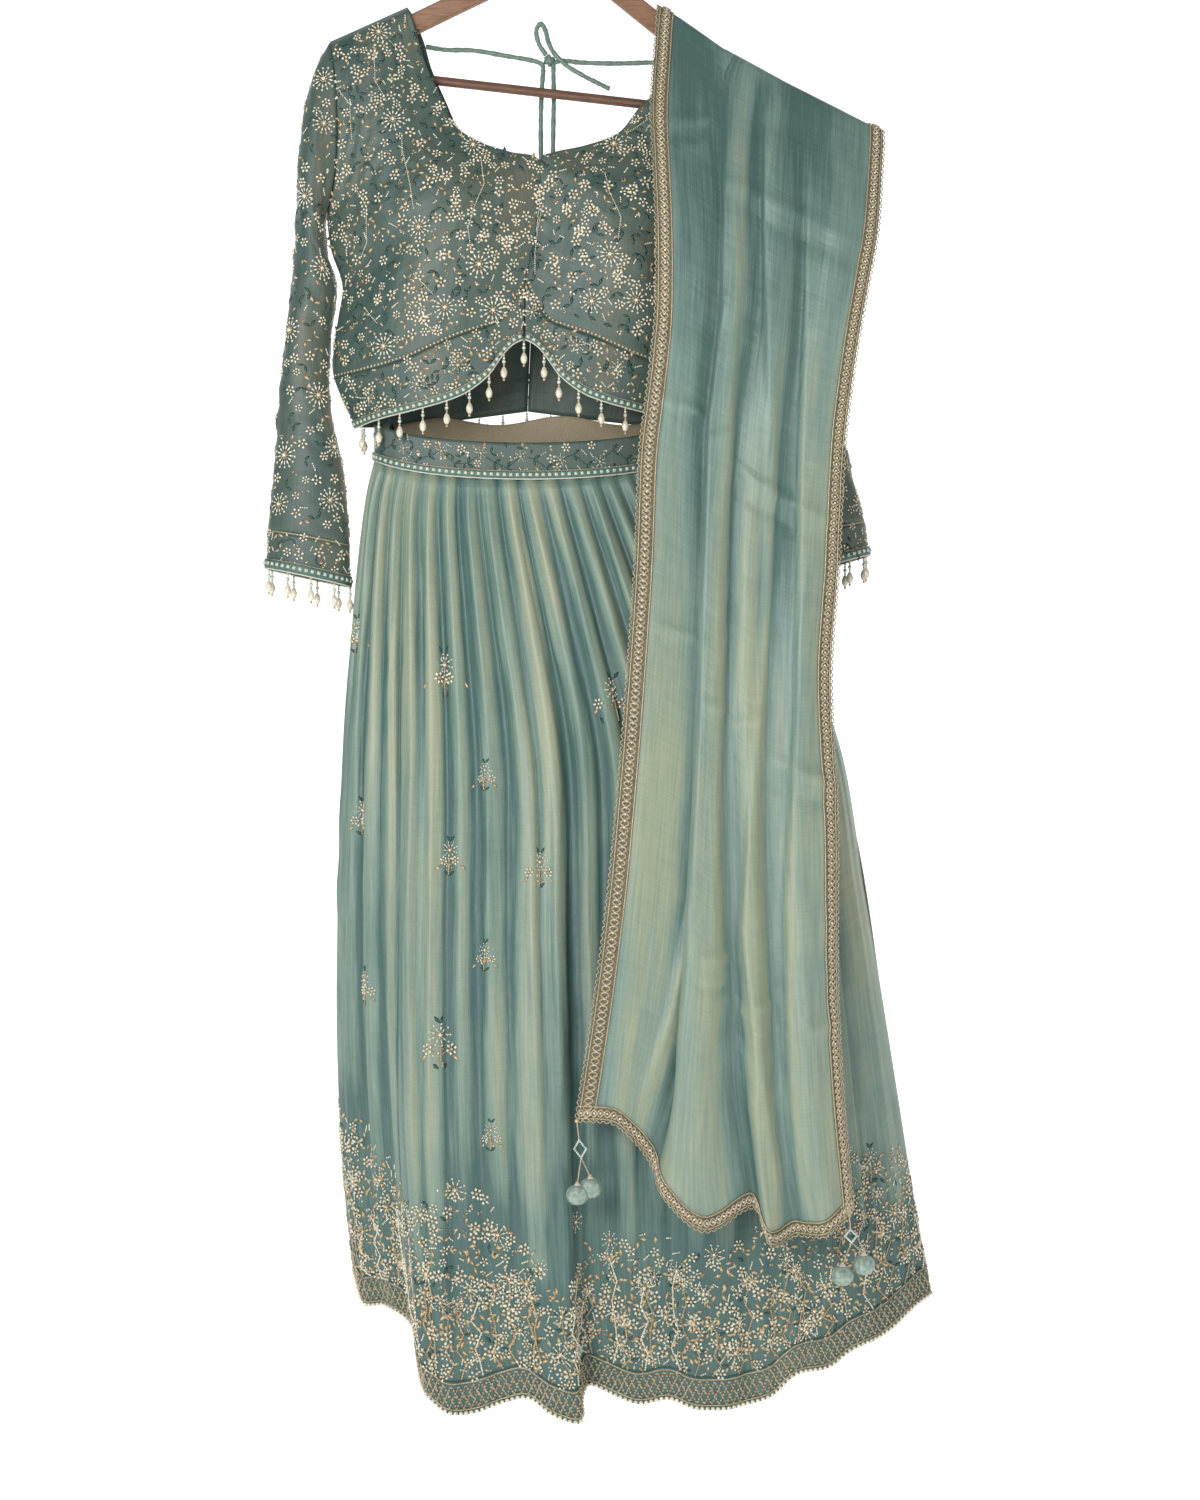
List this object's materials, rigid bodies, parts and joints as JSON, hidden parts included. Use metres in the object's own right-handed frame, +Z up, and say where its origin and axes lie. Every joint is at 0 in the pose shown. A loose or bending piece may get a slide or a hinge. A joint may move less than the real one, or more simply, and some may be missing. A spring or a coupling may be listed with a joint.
{
  "type": "lehenga set on a hanger",
  "caption": "Long-sleeved cropped choli, pleated flared skirt and one-shoulder dupatta with pearl drops, lace and tassels, hung on a wooden hanger.",
  "frame": {"origin": "where the hanger's hook rests on its rod", "axes": "+Z up, +X to the right as seen from the front, +Y towards the back"},
  "size_m": [0.7133, 0.27, 1.631],
  "materials": {
    "wood": "brown stained wood, satin",
    "steel": "plated wire",
    "embroidered_silk": "teal shot silk under beads, sequins and thread",
    "plain_silk": "plain teal silk",
    "skirt_silk": "teal and sage shot silk, soft sheen",
    "dupatta_silk": "teal and olive shot silk, soft sheen",
    "stud_trim": "dark piping with square pale studs",
    "gold_braid": "woven antique gold lace",
    "pearl": "ivory pearl drops and clear beads",
    "lining": "beige cotton lining"
  },
  "bodies": {
    "root": {"hanger_arm_left": "wood", "hanger_arm_right": "wood", "hanger_bar": "wood", "hanger_hook": "steel", "choli_front_left": "embroidered_silk", "choli_front_right": "embroidered_silk", "choli_band_left": "embroidered_silk", "choli_band_right": "embroidered_silk", "sleeve_left": "embroidered_silk", "sleeve_right": "embroidered_silk", "cuff_left": "embroidered_silk", "cuff_right": "embroidered_silk", "waistband_front": "embroidered_silk", "choli_back_left": "plain_silk", "choli_back_right": "plain_silk", "waistband_back": "plain_silk", "loop_left": "plain_silk", "loop_right": "plain_silk", "dori_left": "plain_silk", "dori_right": "plain_silk", "dori_bow": "plain_silk", "dori_knot": "plain_silk", "skirt_front": "skirt_silk", "skirt_back": "skirt_silk", "dupatta_front": "dupatta_silk", "dupatta_back": "dupatta_silk", "tassel_left": "dupatta_silk", "tassel_right": "dupatta_silk", "choli_hem_trim_left": "stud_trim", "choli_hem_trim_right": "stud_trim", "cuff_trim_left": "stud_trim", "cuff_trim_right": "stud_trim", "waistband_trim_front": "stud_trim", "waistband_trim_back": "stud_trim", "dupatta_lace_left": "gold_braid", "dupatta_lace_right": "gold_braid", "dupatta_lace_hem": "gold_braid", "dupatta_lace_back": "gold_braid", "drops_front": "pearl", "drops_back": "pearl", "drops_cuff_left": "pearl", "drops_cuff_right": "pearl", "waistband_lining": "lining"}
  },
  "joints": []
}
